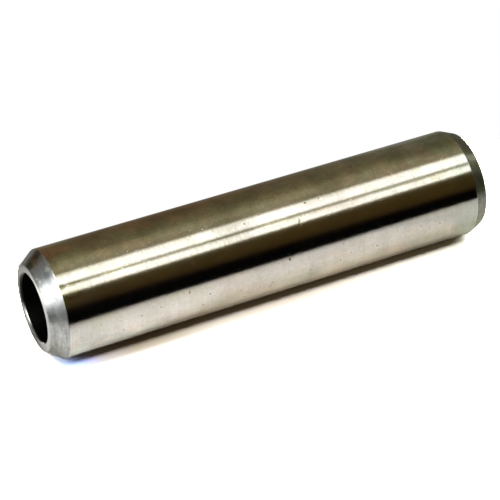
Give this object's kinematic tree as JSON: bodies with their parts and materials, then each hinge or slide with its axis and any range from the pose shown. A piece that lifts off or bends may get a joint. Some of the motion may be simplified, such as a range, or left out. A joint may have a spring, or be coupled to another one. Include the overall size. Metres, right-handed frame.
{
  "type": "exhaust valve guide",
  "caption": "Plain cylindrical valve guide: a turned and ground bush with a through bore, a large lead-in chamfer at one end and a slim chamfer at the other.",
  "frame": {"origin": "centre of the bore at the lead face, on which the guide stands", "axes": "+Z along the bore, from the lead end with the large chamfer to the tail end with the slim one; any direction across it can be +X, because the guide is round"},
  "size_m": [0.0128, 0.0128, 0.0548],
  "materials": {
    "ground_iron": "outside ground bright, end chamfers and faces finely turned and duller, bore reamed"
  },
  "bodies": {
    "root": {"valve_guide": "ground_iron"}
  },
  "joints": []
}
